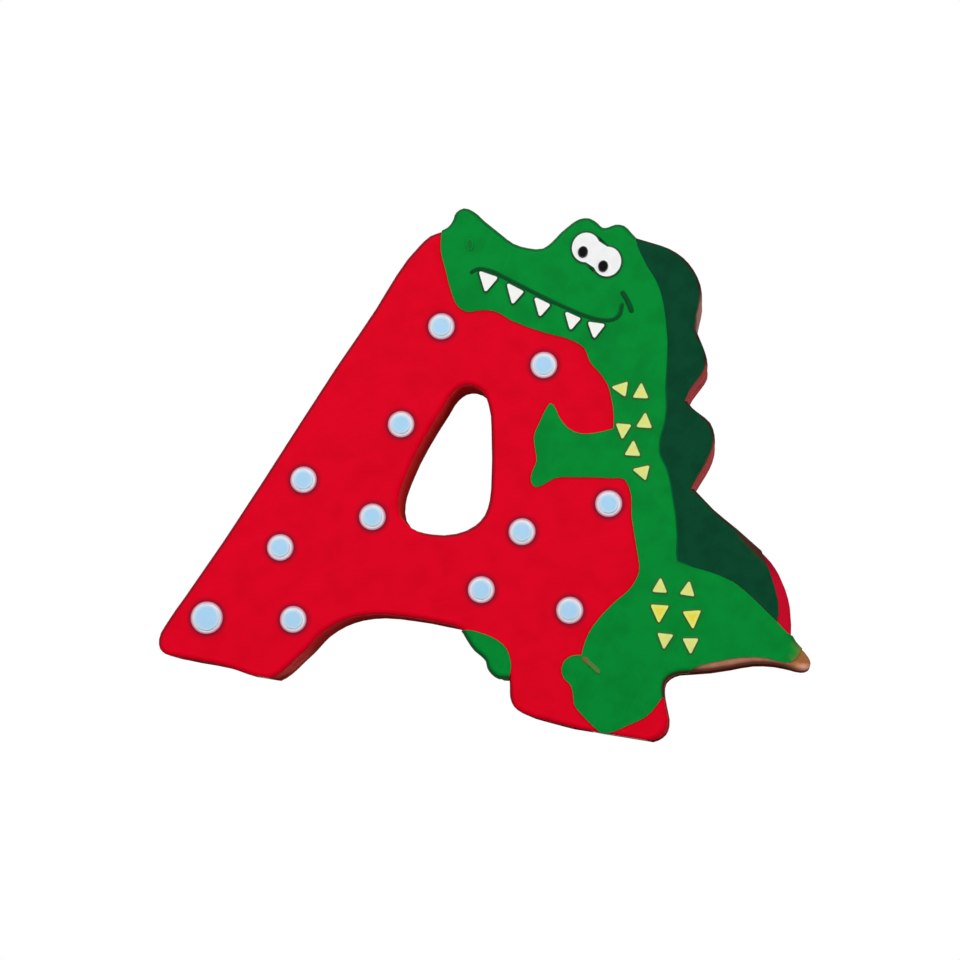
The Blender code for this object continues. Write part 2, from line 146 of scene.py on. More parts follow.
# lengths are in millimetres, but lampAim, floorFade and the lamps are in metres
studio = {
    "lens": 101.241, "sensor": 36.0, "nearest": 10.0,
    "place": (48.6, -419.7, -9.7), "turn": (96.2688, -9.4623, 6.2369),
    "floorSize": 6000.0, "floorSink": 0.02, "floorGlow": 0.8, "floorWhite": 0.3, "floorBounce": 0.25,
    "floorFade": (0.14, 0.6), "floorSides": 64, "ambient": 0.26, "lampAim": (0.0, 0.0, 0.04),
}
lamps = [
    {"name": "frontLamp", "place": (-0.1, -1.2, 0.25), "size": 0.8, "watts": 7.5, "glint": False},
    {"name": "keyLamp", "place": (-0.55, -0.95, 0.8), "size": 0.9, "watts": 6.4, "glint": True},
    {"name": "fillLamp", "place": (1.1, -0.55, 0.1), "size": 0.7, "watts": 6.0, "glint": False},
    {"name": "backLamp", "place": (-0.6, 0.9, 0.7), "size": 0.9, "watts": 13.0, "glint": True},
]

eye = bpy.data.cameras.new("photoCamera")
eye.lens = studio["lens"]
eye.sensor_width = studio["sensor"]
eye.clip_start = studio["nearest"] * mm
camera = bpy.data.objects.new("photoCamera", eye)
scene.collection.objects.link(camera)
camera.location = Vector(studio["place"]) * mm
camera.rotation_euler = [math.radians(angle) for angle in studio["turn"]]
scene.camera = camera

for lamp in lamps:
    light = bpy.data.lights.new(lamp["name"], "AREA")
    light.shape = "DISK"
    light.size = lamp["size"]
    light.energy = lamp["watts"]
    holder = bpy.data.objects.new(lamp["name"], light)
    scene.collection.objects.link(holder)
    holder.location = lamp["place"]
    holder.visible_glossy = lamp["glint"]
    towards = Vector(studio["lampAim"]) - holder.location
    holder.rotation_euler = towards.to_track_quat("-Z", "Y").to_euler()


def seenDirectly(bench):
    # 1 for what the camera sees, also in a reflection or through glass
    direct = bench.node("ShaderNodeLightPath", {}, {}, "Is Camera Ray")
    mirrored = bench.node("ShaderNodeLightPath", {}, {}, "Is Glossy Ray")
    through = bench.node("ShaderNodeLightPath", {}, {}, "Is Transmission Ray")
    return direct.maths("MAXIMUM", direct.maths("MAXIMUM", direct, mirrored), through)


world = bpy.data.worlds.new("paleStudio")
scene.world = world
world.use_nodes = True
air = Bench(world.node_tree)
sky = world.node_tree.nodes["Background"]
white = (1.0, 1.0, 1.0)
air.plug(sky.inputs["Color"], white)
seen = seenDirectly(air)
air.plug(sky.inputs["Strength"], seen + (1 - seen) * studio["ambient"])

floorShape = bmesh.new()
bmesh.ops.create_circle(floorShape, cap_ends=True, segments=studio["floorSides"],
                        radius=studio["floorSize"] * mm)
bmesh.ops.translate(floorShape, verts=floorShape.verts, vec=(0, 0, -studio["floorSink"] * mm))
floorMesh = bpy.data.meshes.new("studioFloor")
floorShape.to_mesh(floorMesh)
floorShape.free()
floor = bpy.data.objects.new("studioFloor", floorMesh)
scene.collection.objects.link(floor)
floorPaint = bpy.data.materials.new("studioFloor")
floorPaint.use_nodes = True
ground = Bench(floorPaint.node_tree)
floorPaint.node_tree.nodes.remove(floorPaint.node_tree.nodes["Principled BSDF"])
dull = ground.node("ShaderNodeBsdfDiffuse", {}, {"Color": (studio["floorBounce"],) * 3})
lit = ground.node("ShaderNodeBsdfDiffuse", {}, {"Color": (studio["floorWhite"],) * 3})
glow = ground.node("ShaderNodeEmission", {}, {"Color": white, "Strength": studio["floorGlow"]})
shown = ground.node("ShaderNodeAddShader", {}, {0: lit, 1: glow})
# further out the floor fades into the white behind it
reach = ground.node("ShaderNodeVectorMath", {"operation": "LENGTH"}, {0: ground.spot()}, "Value")
plain = ground.node("ShaderNodeEmission", {}, {"Color": white, "Strength": 1.0})
faraway = ground.ease(reach, *studio["floorFade"])
shown = ground.node("ShaderNodeMixShader", {}, {0: faraway, 1: shown, 2: plain})
mixed = ground.node("ShaderNodeMixShader", {}, {0: seenDirectly(ground), 1: dull, 2: shown})
# the photograph looks up a little, from just under the soles, so the floor shows from above only
under = ground.node("ShaderNodeNewGeometry", {}, {}, "Backfacing")
clear = ground.node("ShaderNodeBsdfTransparent", {}, {})
mixed = ground.node("ShaderNodeMixShader", {}, {0: under, 1: mixed, 2: clear})
ground.plug(floorPaint.node_tree.nodes["Material Output"].inputs["Surface"], mixed)
floorMesh.materials.append(floorPaint)
scene.view_settings.view_transform = "Standard"
print("studio ready")


# Shapes taken from the frame

# weld and skin are in millimetres, crease and join in degrees, rimBend in radians
shaping = {
    "weld": 0.002, "level": 0.9999, "upright": 0.5, "skin": 0.01,
    "crease": 40, "join": 0.3, "rimBend": 1.0, "rimSegments": 3,
}
frontWay = (0, -1, 0)
backWay = (0, 1, 0)


def mergedCopy(nodeName):
    bm = bmesh.new()
    bm.from_mesh(nodes[nodeName].data)
    bmesh.ops.remove_doubles(bm, verts=bm.verts, dist=shaping["weld"] * mm)
    return bm


def facing(bm, way):
    # flat faces that look straight this way
    return [face for face in bm.faces if face.normal.dot(Vector(way)) > shaping["level"]]


def keepPiece(bm, name, material, nodeName):
    # shades smoothly up to the crease angle and puts the piece in its node's place
    for face in bm.faces:
        face.smooth = True
    for edge in bm.edges:
        edge.smooth = edge.calc_face_angle(0.0) < math.radians(shaping["crease"])
    mesh = bpy.data.meshes.new(name)
    bm.to_mesh(mesh)
    bm.free()
    mesh.materials.append(material)
    piece = bpy.data.objects.new(name, mesh)
    scene.collection.objects.link(piece)
    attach(piece, "root")
    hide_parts(nodeName)


def fadeRim(bm, layer, inner, width):
    # a rim value that is 1 round these faces and fades to 0 inside them
    for vert in bm.verts:
        vert[layer] = 1.0
    bmesh.ops.inset_region(bm, faces=inner, thickness=width * mm, use_boundary=True)
    for face in inner:
        for vert in face.verts:
            vert[layer] = 0.0


def coat(nodeName, name, material, border):
    # a film with a flat front: joined into one face, with a narrow border that keeps its shading level
    bm = mergedCopy(nodeName)
    rimLayer = bm.verts.layers.float.new("rim")
    front = set(facing(bm, frontWay))
    within = [edge for edge in bm.edges if all(face in front for face in edge.link_faces)]
    bmesh.ops.dissolve_limit(bm, angle_limit=math.radians(shaping["join"]), verts=[], edges=within)
    fadeRim(bm, rimLayer, facing(bm, frontWay), border)
    keepPiece(bm, name, material, nodeName)


def pushOut(bm, verts, reach):
    # moves points outwards, square to the upright sides that meet there
    bm.normal_update()
    ways = []
    for vert in verts:
        sides = [face.normal for face in vert.link_faces if abs(face.normal.y) < shaping["upright"]]
        ways.append(sum(sides, Vector()).normalized())
    for vert, way in zip(verts, ways):
        vert.co += way * reach * mm


def dab(nodeName, name, material, paint):
    # a spot of paint whose rim is rounded as wet enamel leaves it
    bm = mergedCopy(nodeName)
    rimLayer = bm.verts.layers.float.new("rim")
    coreLayer = bm.verts.layers.float.new("core")
    bmesh.ops.dissolve_limit(bm, angle_limit=math.radians(shaping["join"]), verts=bm.verts, edges=bm.edges)
    skin = shaping["skin"] * mm
    front = min(vert.co.y for vert in bm.verts)
    rim = [edge for edge in bm.edges if edge.calc_face_angle(0.0) > shaping["rimBend"]
           and all(vert.co.y < front + skin for vert in edge.verts)]
    bmesh.ops.bevel(bm, geom=rim, offset=paint["softness"] * mm, offset_type="OFFSET",
                    segments=shaping["rimSegments"], profile=0.5, affect="EDGES", material=-1,
                    clamp_overlap=True)
    inner = facing(bm, frontWay)
    fadeRim(bm, rimLayer, inner, paint["rimWidth"])
    if "skirt" in paint:
        # the paint thins out to a sloping foot
        foot = max(vert.co.y for vert in bm.verts)
        pushOut(bm, [vert for vert in bm.verts if vert.co.y > foot - skin], paint["skirt"])
    if "core" in paint:
        # a core value that is 1 in the middle and fades to 0 at the rim
        poked = bmesh.ops.poke(bm, faces=inner)
        for vert in poked["verts"]:
            vert[coreLayer] = 1.0
    keepPiece(bm, name, material, nodeName)


# Red enamel over the front and the sawn sides

# colours are linear, places and the sizes of blotches are in millimetres
redCoat = {
    "colour": (0.73, 0.0006, 0.0155), "deep": (0.675, 0.0004, 0.013), "fresh": (0.785, 0.0012, 0.0185),
    "crescent": (0.53, 0.003, 0.022), "crescentX": (37.5, 39.5),
    "crescentTop": (0.24, 0.003, 0.018), "crescentZ": (26.5, 31.0),
    "side": (0.66, 0.016, 0.022), "sideBack": (0.34, 0.018, 0.015), "sideFade": (-3.6, 3.4),
    "saw": 0.5, "sawLength": 30, "blotch": 2.6, "ragged": 3.0,
    "dusty": (0.56, 0.06, 0.045), "dustySaw": 0.5, "dustyFrom": (0.5, 1.1), "dustyShare": 0.5,
    "thin": (0.5, 0.13, 0.07), "barePart": (3.4, 4.7), "bareShare": 0.25,
    "crestSide": (0.62, 0.1, 0.1), "crestX": (23.0, 25.0), "crestZ": (34.0, 38.0),
    "crestSaw": 0.6, "crestFrom": (0.35, 0.95),
    "humpSide": (0.6, 0.27, 0.23), "humpZ": (59.0, 63.0),
    "chafed": (0.8, 0.105, 0.09), "chafedZ": (3.0, 6.5),
    "chafedFrom": (-33.0, -31.0), "chafedTo": (-26.5, -25.0), "chafedSaw": 0.4, "chafedPatch": (0.4, 0.85),
    "tailUnderShade": (0.17, 0.03, 0.018), "tailUnderShadeX": (28.0, 30.0),
    "worn": (0.43, 0.195, 0.12), "wornDark": (0.34, 0.125, 0.075),
    "wornBlotch": 1.6, "wornPatch": (0.4, 0.7), "wornDarkShare": 0.6,
    "wornX": (28.0, 30.5), "wornLow": (9.5, 11.0), "wornHigh": (18.6, 19.4),
    "cornerShade": (0.06, 0.026, 0.009), "cornerShadeX": (31.6, 35.2),
    "shadeBelow": (0.2, 0.05, 0.034), "shadeBelowTurn": (0.2, 0.8),
    "wornSideX": (38.5, 43.0), "wornSideY": (-2.5, 2.0), "wornSideShare": 0.9,
    "tipInner": (0.26, 0.14, 0.055), "tip": (0.5, 0.18, 0.06), "tipTop": (0.33, 0.125, 0.04),
    "tipOuter": (0.9, 0.42, 0.3), "tipX": (46.0, 48.5), "tipZ": (14.7, 15.6), "tipOuterX": (47.8, 49.6),
    "tipBlotch": 1.2, "tipRagged": 1.0,
    "rim": (0.24, 0.006, 0.016), "edgeShadeLift": 0.7, "edgeShadeTurn": (0.03, 0.6), "edgeShadeShare": 0.9,
    "ring": (0.29, 0.004, 0.02), "ringWidth": (0.0, 1.0), "ringShare": 0.9,
    "seam": (0.001, 0.1, 0.024), "seamSlant": 0.27, "seamFrom": (31.0, 33.0), "seamTo": (35.5, 37.5),
    "seamZ": (18.0, 20.0),
    "sideFrom": (-3.95, -3.3), "sideRough": 0.75, "sideGloss": 0.0,
    "sideGrain": 0.22, "sideGrainDetail": 2.0, "sideGrainShare": 0.4, "sideDepth": 0.07, "sideRelief": 0.6,
    "patch": 3.4, "stroke": 0.5, "strokeLength": 20, "strokeTurn": math.radians(24), "strokeShare": 0.45,
    "relief": 0.3, "rough": 0.4, "gloss": 0.018, "border": 0.12,
}
brushwork = {
    "mottleDetail": 4.0, "mottleFrom": (0.3, 0.62), "freshFrom": (0.5, 0.85), "roughSwing": 0.12,
    "grain": 0.22, "grainDetail": 2.0, "grainShare": 0.25, "depth": 0.05,
}


def brushed(bench, paint):
    # hand-brushed enamel: cloudy patches, streaks along the brush and the relief they leave
    mottle = bench.noise(paint["patch"], detail=brushwork["mottleDetail"])
    strokes = bench.noise(paint["stroke"], (paint["strokeLength"], 1, 1), paint["strokeTurn"])
    grainy = bench.noise(brushwork["grain"], detail=brushwork["grainDetail"])
    colour = bench.blend(bench.ease(mottle, *brushwork["mottleFrom"]), paint["deep"], paint["colour"])
    streaks = bench.ease(strokes, *brushwork["freshFrom"]) * paint["strokeShare"]
    colour = bench.blend(streaks, colour, paint["fresh"])
    rough = paint["rough"] + (strokes - 0.5) * brushwork["roughSwing"]
    relief = bench.bump(strokes + grainy * brushwork["grainShare"], brushwork["depth"], paint["relief"])
    return colour, rough, relief


def toNearestDot(bench):
    # how far it is to the rim of the nearest polka dot
    nearest = None
    for nodeName in sorted(nodes):
        if nodeName.startswith("dot_ground"):
            corners = [Vector(corner) for corner in nodes[nodeName].bound_box]
            middle = sum(corners, Vector()) / len(corners)
            radius = max(corner.x for corner in corners) - middle.x
            ends = {0: bench.spot(), 1: middle}
            away = bench.node("ShaderNodeVectorMath", {"operation": "DISTANCE"}, ends, "Value") - radius
            nearest = away.maths("MINIMUM", nearest, away) if nearest else away
    return nearest


def redFinish():
    material, bench, shader = newFinish("redEnamel", redCoat["gloss"])
    front, rough, relief = brushed(bench, redCoat)
    across = bench.axis("X")
    depth = bench.axis("Y")
    height = bench.axis("Z")
    # the crescent behind the crest darkens towards its top
    topShare = bench.band(height, redCoat["crescentZ"])
    crescent = bench.blend(topShare, redCoat["crescent"], redCoat["crescentTop"])
    front = bench.blend(bench.band(across, redCoat["crescentX"]), front, crescent)
    # painted shade: a soft dark ring round each dot
    ring = 1 - bench.band(toNearestDot(bench), redCoat["ringWidth"])
    front = bench.blend(ring * redCoat["ringShare"], front, redCoat["ring"])
    # under the seam of body and crest the red is painted over, so that none shines through
    slanted = across + height * redCoat["seamSlant"]
    hidden = bench.band(slanted, redCoat["seamFrom"]) * (1 - bench.band(across, redCoat["seamTo"]))
    hidden = hidden * bench.band(height, redCoat["seamZ"])
    front = bench.blend(hidden, front, redCoat["seam"])
    # painted shade: the rounded front edge is darkened where it turns upwards or to the left
    rim = bench.ease(bench.turned("Z") * redCoat["edgeShadeLift"] - bench.turned("X"), *redCoat["edgeShadeTurn"])
    front = bench.blend(rim * redCoat["edgeShadeShare"], front, redCoat["rim"])
    # the paint is rubbed thin under the tail and round its tip; painted shade darkens it where it faces
    # downwards and towards the corner under the tail
    tail = bench.band(across, redCoat["wornX"]) * bench.band(height, redCoat["wornLow"])
    tail = tail * (1 - bench.band(height, redCoat["wornHigh"]))
    atTip = bench.band(across, redCoat["tipX"])
    wavy = (bench.noise(redCoat["tipBlotch"]) - 0.5) * (redCoat["tipRagged"] * mm)
    atTop = bench.band(height + wavy, redCoat["tipZ"])
    tip = bench.blend(atTip, redCoat["tipInner"], redCoat["tip"])
    tip = bench.blend(bench.band(across, redCoat["tipOuterX"]), tip, redCoat["tipOuter"])
    patchy = bench.ease(bench.noise(redCoat["wornBlotch"]), *redCoat["wornPatch"])
    rubbed = bench.blend(patchy * redCoat["wornDarkShare"], redCoat["worn"], redCoat["wornDark"])
    # painted shade: the rubbed band is darkened where it faces downwards
    lowTurn = bench.ease(bench.turned("Z") * -1, *redCoat["shadeBelowTurn"])
    rubbed = bench.blend(lowTurn, rubbed, redCoat["shadeBelow"])
    # painted shade: the band goes near black towards the corner under the tail
    rubbed = bench.blend(bench.band(across, redCoat["cornerShadeX"]), redCoat["cornerShade"], rubbed)
    rubbed = bench.blend(atTip, rubbed, bench.blend(atTop, tip, redCoat["tipTop"]))
    bench.plug(shader.inputs["Base Color"], bench.blend(tail, front, rubbed))
    bench.plug(shader.inputs["Roughness"], rough)
    bench.plug(shader.inputs["Normal"], relief)
    # the sawn sides are duller: the saw cut drinks the paint and its marks run straight through the board
    sawn = bench.noise(redCoat["saw"], (1, redCoat["sawLength"], 1))
    blotch = bench.noise(redCoat["blotch"])
    ragged = depth + (blotch - 0.5) * (redCoat["ragged"] * mm)
    side = bench.blend(bench.band(ragged, redCoat["sideFade"]), redCoat["side"], redCoat["sideBack"])
    dust = bench.ease(blotch + sawn * redCoat["dustySaw"], *redCoat["dustyFrom"])
    side = bench.blend(dust * redCoat["dustyShare"], side, redCoat["dusty"])
    behindCrest = bench.band(across, redCoat["crestX"]) * bench.band(height, redCoat["crestZ"])
    behindCrest = behindCrest * bench.ease(blotch + sawn * redCoat["crestSaw"], *redCoat["crestFrom"])
    side = bench.blend(behindCrest, side, redCoat["crestSide"])
    faded = behindCrest * bench.band(height, redCoat["humpZ"])
    side = bench.blend(faded, side, redCoat["humpSide"])
    bare = bench.band(ragged, redCoat["barePart"]) * redCoat["bareShare"]
    side = bench.blend(bare, side, redCoat["thin"])
    # painted shade: the side under the tail is darkened
    side = bench.blend(tail * bench.band(across, redCoat["tailUnderShadeX"]), side, redCoat["tailUnderShade"])
    nearFront = 1 - bench.band(ragged, redCoat["wornSideY"])
    wornSide = tail * bench.band(across, redCoat["wornSideX"]) * nearFront
    side = bench.blend(wornSide * redCoat["wornSideShare"], side, rubbed)
    # the corner of the left leg's inner side is chafed
    chafed = bench.band(across, redCoat["chafedFrom"]) * (1 - bench.band(across, redCoat["chafedTo"]))
    chafed = chafed * (1 - bench.band(height, redCoat["chafedZ"]))
    chafed = chafed * bench.ease(blotch + sawn * redCoat["chafedSaw"], *redCoat["chafedPatch"])
    side = bench.blend(chafed, side, redCoat["chafed"])
    grainy = bench.noise(redCoat["sideGrain"], detail=redCoat["sideGrainDetail"])
    sawMarks = sawn + grainy * redCoat["sideGrainShare"]
    sides = bench.node("ShaderNodeBsdfPrincipled", {}, {
        "Base Color": side, "Roughness": redCoat["sideRough"],
        "Specular IOR Level": redCoat["sideGloss"],
        "Normal": bench.bump(sawMarks, redCoat["sideDepth"], redCoat["sideRelief"]),
    })
    sideMask = bench.band(depth, redCoat["sideFrom"])
    both = bench.node("ShaderNodeMixShader", {}, {0: sideMask, 1: Wire(bench, shader.outputs[0]), 2: sides})
    bench.plug(material.node_tree.nodes["Material Output"].inputs["Surface"], both)
    return material


redEnamel = redFinish()
coat("red_base_coat", "redCoat", redEnamel, redCoat["border"])
print("red coat done")


# Greens of the alligator

greenCoat = {
    "colour": (0.0012, 0.247, 0.0325), "deep": (0.001, 0.21, 0.027), "fresh": (0.0026, 0.282, 0.04),
    "edge": (0.012, 0.13, 0.02), "edgeY": (-4.5, -4.0), "under": None,
    "rim": (0.006, 0.085, 0.022), "edgeShadeTilt": (0.01, 0.2), "edgeShadeShare": 0.85,
    "seam": None,
    "worn": (0.17, 0.17, 0.035), "wornAlong": (1.0, 0.0), "wornFrom": (46.9, 49.4),
    "wornPast": (40.0, 41.0), "wornRagged": 3.0,
    "notchShade": (0.045, 0.018, 0.007), "notchShadeFrom": (27.0, 28.6), "notchShadeTo": (36.0, 39.0),
    "notchShadeZ": (11.9, 13.0), "notchShadeY": (-4.52, -4.1),
    "patch": 3.0, "stroke": 0.45, "strokeLength": 16, "strokeTurn": math.radians(78), "strokeShare": 0.45,
    "relief": 0.3, "rough": 0.4, "gloss": 0.018, "border": 0.12,
}
crestCoat = {
    "colour": (0.0024, 0.058, 0.0235), "deep": (0.002, 0.0455, 0.0193), "fresh": (0.0034, 0.071, 0.0278),
    "edge": (0.03, 0.012, 0.009), "edgeY": (-4.56, -4.25),
    "rim": (0.008, 0.025, 0.012), "edgeShadeTilt": (0.03, 0.45), "edgeShadeShare": 0.6,
    "seam": (0.001, 0.13, 0.026), "seamTo": (36.5, 38.0), "seamTop": (67.0, 71.0),
    "under": (0.43, 0.05, 0.054), "underFrom": (0.15, 0.55),
    "underHigh": (0.36, 0.17, 0.14), "highZ": (59.0, 63.0),
    "worn": (0.06, 0.018, 0.013), "wornAlong": (0.62, 0.785), "wornFrom": (48.2, 49.3),
    "wornPast": (34.5, 38.5), "wornRagged": 0.8,
    "notchShade": None,
    "patch": 2.6, "stroke": 0.45, "strokeLength": 16, "strokeTurn": math.radians(60), "strokeShare": 0.45,
    "relief": 0.3, "rough": 0.4, "gloss": 0.018, "border": 0.3,
}
greenEdges = {"blotch": 1.8, "patch": (0.3, 0.6), "underLean": 0.6, "wornBlotch": 1.3}


def greenFinish(name, paint):
    material, bench, shader = newFinish(name, paint["gloss"])
    colour, rough, relief = brushed(bench, paint)
    across = bench.axis("X")
    thin = bench.band(bench.axis("Y"), paint["edgeY"])
    patchy = bench.ease(bench.noise(greenEdges["blotch"]), *greenEdges["patch"])
    edge = paint["edge"]
    if paint["under"]:
        # the brush stopped at edges that turn downwards or to the right, and red shows there
        lean = bench.turned("X") * greenEdges["underLean"] - bench.turned("Z")
        below = bench.ease(lean, *paint["underFrom"])
        under = bench.blend(bench.band(bench.axis("Z"), paint["highZ"]), paint["under"], paint["underHigh"])
        edge = bench.blend(below, edge, under)
        patchy = patchy.maths("MAXIMUM", patchy, below)
    if paint["seam"]:
        # the two greens run into each other along the body
        slanted = across + bench.axis("Z") * redCoat["seamSlant"]
        inward = 1 - bench.band(slanted, paint["seamTo"])
        inward = inward * (1 - bench.band(bench.axis("Z"), paint["seamTop"]))
        colour = bench.blend(bench.carried("rim") * inward, colour, paint["seam"])
    # painted shade: the rounded edge is darkened where it turns away from the front
    edgeShade = bench.ease(bench.turned("Y") + 1, *paint["edgeShadeTilt"])
    colour = bench.blend(edgeShade * paint["edgeShadeShare"], colour, paint["rim"])
    colour = bench.blend(thin * patchy, colour, edge)
    # the paint is rubbed off the tail's tip, and runs thin on the crest's low edge
    along = across * paint["wornAlong"][0] + bench.axis("Z") * paint["wornAlong"][1]
    along = along + (bench.noise(greenEdges["wornBlotch"]) - 0.5) * (paint["wornRagged"] * mm)
    rubbed = bench.band(along, paint["wornFrom"]) * bench.band(across, paint["wornPast"])
    colour = bench.blend(rubbed, colour, paint["worn"])
    if paint["notchShade"]:
        # painted shade in the corner under the tail
        corner = bench.band(across, paint["notchShadeFrom"]) * (1 - bench.band(across, paint["notchShadeTo"]))
        corner = corner * (1 - bench.band(bench.axis("Z"), paint["notchShadeZ"]))
        corner = corner * bench.band(bench.axis("Y"), paint["notchShadeY"])
        colour = bench.blend(corner, colour, paint["notchShade"])
    bench.plug(shader.inputs["Base Color"], colour)
    bench.plug(shader.inputs["Roughness"], rough)
    bench.plug(shader.inputs["Normal"], relief)
    return material


greenEnamel = greenFinish("greenEnamel", greenCoat)
darkGreenEnamel = greenFinish("darkGreenEnamel", crestCoat)
coat("alligator_coat", "alligatorCoat", greenEnamel, greenCoat["border"])
coat("rear_foot_coat", "rearFootCoat", greenEnamel, greenCoat["border"])
coat("crest_coat", "crestCoat", darkGreenEnamel, crestCoat["border"])
print("greens done")


# Spots of paint: dots, eyes, teeth, scale marks and lines

dabPaints = {
    "dotGround": {"colour": (0.8, 0.775, 0.83), "thin": (0.73, 0.68, 0.765), "thinFrom": (0.4, 0.75),
                  "rim": (0.56, 0.27, 0.36), "rimWidth": 0.36, "softness": 0.08,
                  "patch": 1.2, "rough": 0.45, "gloss": 0.07, "slot": "white_enamel"},
    "blueEnamel": {"colour": (0.385, 0.655, 0.888), "thin": (0.43, 0.68, 0.89), "thinFrom": (0.4, 0.75),
                   "rim": (0.58, 0.72, 0.84), "rimWidth": 0.4, "softness": 0.07,
                   "patch": 1.5, "rough": 0.42, "gloss": 0.07, "slot": "pale_blue_enamel"},
    "eyeEnamel": {"colour": (0.88, 0.885, 0.885), "thin": (0.84, 0.85, 0.85), "thinFrom": (0.4, 0.75),
                  "rim": (0.012, 0.085, 0.03), "rimWidth": 0.08, "softness": 0.07, "skirt": 0.24,
                  "patch": 1.4, "rough": 0.42, "gloss": 0.07, "slot": "white_enamel"},
    "toothEnamel": {"colour": (0.89, 0.885, 0.86), "thin": (0.78, 0.81, 0.74), "thinFrom": (0.55, 0.85),
                    "rim": (0.008, 0.075, 0.022), "rimWidth": 0.08, "softness": 0.07, "skirt": 0.22,
                    "patch": 1.2, "rough": 0.42, "gloss": 0.07, "slot": "white_enamel"},
    "yellowEnamel": {"colour": (0.66, 0.79, 0.28), "thin": (0.56, 0.72, 0.24), "thinFrom": (0.45, 0.75),
                     "core": (0.79, 0.72, 0.165), "coreFrom": (0.1, 0.8),
                     "rim": (0.03, 0.13, 0.024), "rimWidth": 0.1, "softness": 0.07, "skirt": 0.18,
                     "patch": 0.9, "rough": 0.42, "gloss": 0.07, "slot": "yellow_enamel"},
    "goldenEnamel": {"colour": (0.73, 0.81, 0.18), "thin": (0.68, 0.79, 0.18), "thinFrom": (0.45, 0.75),
                     "core": (0.84, 0.67, 0.06), "coreFrom": (0.05, 0.7),
                     "rim": (0.03, 0.13, 0.024), "rimWidth": 0.1, "softness": 0.07, "skirt": 0.18,
                     "patch": 0.9, "rough": 0.42, "gloss": 0.07, "slot": "yellow_enamel"},
    "blackEnamel": {"colour": (0.003, 0.003, 0.003), "thin": (0.006, 0.006, 0.006),
                    "thinFrom": (0.45, 0.75),
                    "rim": (0.09, 0.093, 0.093), "rimWidth": 0.14, "softness": 0.07,
                    "patch": 0.6, "rough": 0.36, "gloss": 0.03, "slot": "black_enamel"},
    "mouthEnamel": {"colour": (0.002, 0.042, 0.0125), "thin": (0.0022, 0.066, 0.016),
                    "thinFrom": (0.45, 0.75),
                    "rim": (0.002, 0.1, 0.021), "rimWidth": 0.1, "softness": 0.07, "skirt": 0.11,
                    "patch": 1.2, "rough": 0.42, "gloss": 0.05, "slot": "dark_green_enamel"},
    "cheekEnamel": {"colour": (0.0015, 0.05, 0.0125), "thin": (0.0018, 0.075, 0.016),
                    "thinFrom": (0.45, 0.75),
                    "rim": (0.0015, 0.085, 0.018), "rimWidth": 0.1, "softness": 0.07, "skirt": 0.2,
                    "patch": 1.2, "rough": 0.42, "gloss": 0.05, "slot": "dark_green_enamel"},
    "nostrilEnamel": {"colour": (0.0012, 0.155, 0.022), "thin": (0.0012, 0.175, 0.0235),
                      "thinFrom": (0.45, 0.75),
                      "rim": (0.0012, 0.242, 0.0322), "rimWidth": 0.2, "softness": 0.07,
                      "patch": 0.8, "rough": 0.42, "gloss": 0.05, "slot": "dark_green_enamel"},
    "oliveEnamel": {"colour": (0.1, 0.19, 0.045), "thin": (0.07, 0.2, 0.042), "thinFrom": (0.4, 0.7),
                    "start": (0.19, 0.105, 0.033), "startX": (16.0, 17.6),
                    "rim": (0.07, 0.19, 0.04), "rimWidth": 0.12, "softness": 0.07,
                    "patch": 0.7, "rough": 0.44, "gloss": 0.05, "slot": "olive_enamel"},
}
dabSurface = {"grain": 0.2, "grainDetail": 2.0, "grainShare": 0.3, "depth": 0.04, "relief": 0.3,
              "roughSwing": 0.15}


def dabFinish(name, paint):
    material, bench, shader = newFinish(name, paint["gloss"])
    cloud = bench.noise(paint["patch"])
    grainy = bench.noise(dabSurface["grain"], detail=dabSurface["grainDetail"])
    thin = bench.ease(cloud, *paint["thinFrom"])
    colour = bench.blend(thin, paint["colour"], paint["thin"])
    if "core" in paint:
        # the paint is thickest, and so its colour deepest, in the middle of the mark
        colour = bench.blend(bench.ease(bench.carried("core"), *paint["coreFrom"]), colour, paint["core"])
    # what is under the paint shows where it runs out at the rim
    colour = bench.blend(bench.ease(bench.carried("rim"), 0.0, 1.0), colour, paint["rim"])
    if "start" in paint:
        # the stroke starts in another colour and runs out of it
        colour = bench.blend(1 - bench.band(bench.axis("X"), paint["startX"]), colour, paint["start"])
    bench.plug(shader.inputs["Base Color"], colour)
    bench.plug(shader.inputs["Roughness"], paint["rough"] + (cloud - 0.5) * dabSurface["roughSwing"])
    uneven = cloud + grainy * dabSurface["grainShare"]
    bench.plug(shader.inputs["Normal"], bench.bump(uneven, dabSurface["depth"], dabSurface["relief"]))
    return material


dabFinishes = {name: dabFinish(name, paint) for name, paint in dabPaints.items()}
dabs = {
    "dot_ground": "dotGround", "dot_blue": "blueEnamel", "eye_whites": "eyeEnamel", "pupil": "blackEnamel",
    "tooth": "toothEnamel", "scale_mark": "yellowEnamel", "mouth_line": "mouthEnamel",
    "cheek_line": "cheekEnamel", "nostril_mark": "nostrilEnamel", "toe_line": "oliveEnamel",
}
goldenMarks = ("scale_mark_09", "scale_mark_10")
dabCount = 0
for nodeName in sorted(nodes):
    for start, finishName in dabs.items():
        if nodeName.startswith(start):
            chosen = "goldenEnamel" if nodeName in goldenMarks else finishName
            dab(nodeName, nodeName + "_dab", dabFinishes[chosen], dabPaints[chosen])
            dabCount += 1
print("dabs done:", dabCount)


# Bare birch ply

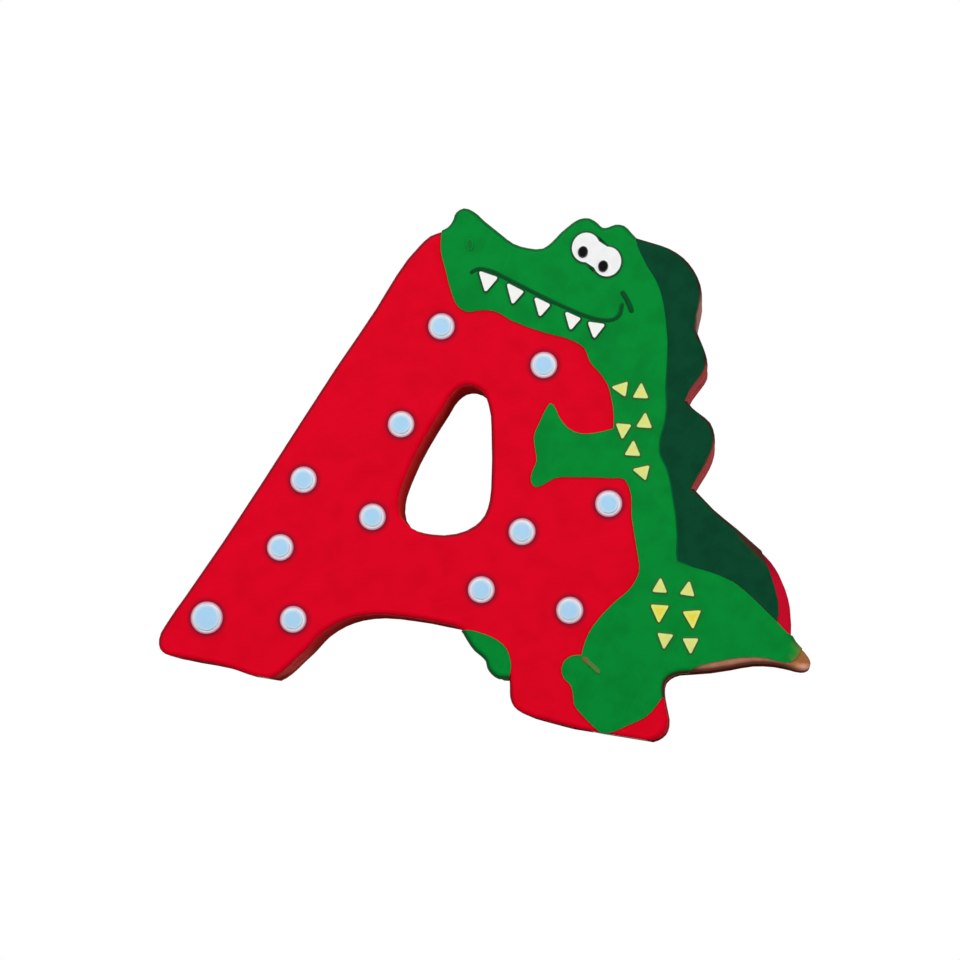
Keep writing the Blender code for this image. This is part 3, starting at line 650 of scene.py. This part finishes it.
birch = {
    "pale": (0.66, 0.475, 0.285), "mid": (0.56, 0.375, 0.205), "dark": (0.36, 0.21, 0.105),
    "grain": 0.55, "grainLength": 45, "figure": 3.2, "rough": 0.58, "gloss": 0.25,
}
crossBirch = {
    "pale": (0.52, 0.35, 0.19), "mid": (0.43, 0.275, 0.14), "dark": (0.27, 0.155, 0.075),
    "grain": 0.45, "grainLength": 40, "figure": 2.4, "rough": 0.64, "gloss": 0.2,
}
grain = {
    "lineDetail": 4.0, "pore": 0.18, "poreDetail": 1.0, "figureFrom": (0.35, 0.68),
    "lineFrom": (0.5, 0.78), "lineShare": 0.55, "poreFrom": (0.66, 0.8), "poreShare": 0.4,
    "roughSwing": 0.2, "lineRise": 0.6, "pitFrom": (0.6, 0.8), "depth": 0.05, "relief": 0.6,
}
backFace = {
    "lap": (0.45, 0.004, 0.012), "lapWidth": 0.6, "lapFrom": (0.55, 1.0), "lapBlotch": 3.0,
    "lapRagged": 0.9, "lapShare": 0.85, "lapShine": 0.15,
}


def birchFinish(name, wood, stretch, lapped):
    material, bench, shader = newFinish(name, wood["gloss"])
    figure = bench.noise(wood["figure"], stretch)
    lines = bench.noise(wood["grain"], stretch, detail=grain["lineDetail"])
    pores = bench.noise(grain["pore"], stretch, detail=grain["poreDetail"])
    colour = bench.blend(bench.ease(figure, *grain["figureFrom"]), wood["pale"], wood["mid"])
    lined = bench.ease(lines, *grain["lineFrom"]) * grain["lineShare"]
    colour = bench.blend(lined, colour, wood["mid"])
    specks = bench.ease(pores, *grain["poreFrom"]) * grain["poreShare"]
    colour = bench.blend(specks, colour, wood["dark"])
    rough = wood["rough"] + (lines - 0.5) * grain["roughSwing"]
    if lapped:
        # red paint that ran over the edge ends in a ragged line
        blotch = bench.noise(backFace["lapBlotch"])
        ragged = bench.carried("rim") + (blotch - 0.5) * backFace["lapRagged"]
        lap = bench.ease(ragged, *backFace["lapFrom"])
        colour = bench.blend(lap * backFace["lapShare"], colour, backFace["lap"])
        rough = rough - lap * backFace["lapShine"]
    bench.plug(shader.inputs["Base Color"], colour)
    bench.plug(shader.inputs["Roughness"], rough)
    raised = lines * grain["lineRise"] - bench.ease(pores, *grain["pitFrom"])
    bench.plug(shader.inputs["Normal"], bench.bump(raised, grain["depth"], grain["relief"]))
    return material


upright = (1, 1, birch["grainLength"])
sideways = (crossBirch["grainLength"], 1, 1)
faceBirch = birchFinish("faceBirch", birch, upright, False)
edgeBirch = birchFinish("edgeBirch", crossBirch, sideways, False)
backBirch = birchFinish("backBirch", birch, upright, True)
for nodeName, finish in [("front_veneer", faceBirch), ("core_ply", faceBirch),
                         ("front_crossband", edgeBirch), ("rear_crossband", edgeBirch)]:
    for holder in nodes[nodeName].material_slots:
        holder.material = finish

# the back veneer carries a rim value that fades inwards, for paint that lapped over the edge
bm = mergedCopy("back_veneer")
rimLayer = bm.verts.layers.float.new("rim")
fadeRim(bm, rimLayer, facing(bm, backWay), backFace["lapWidth"])
keepPiece(bm, "backFace", backBirch, "back_veneer")
print("birch done")
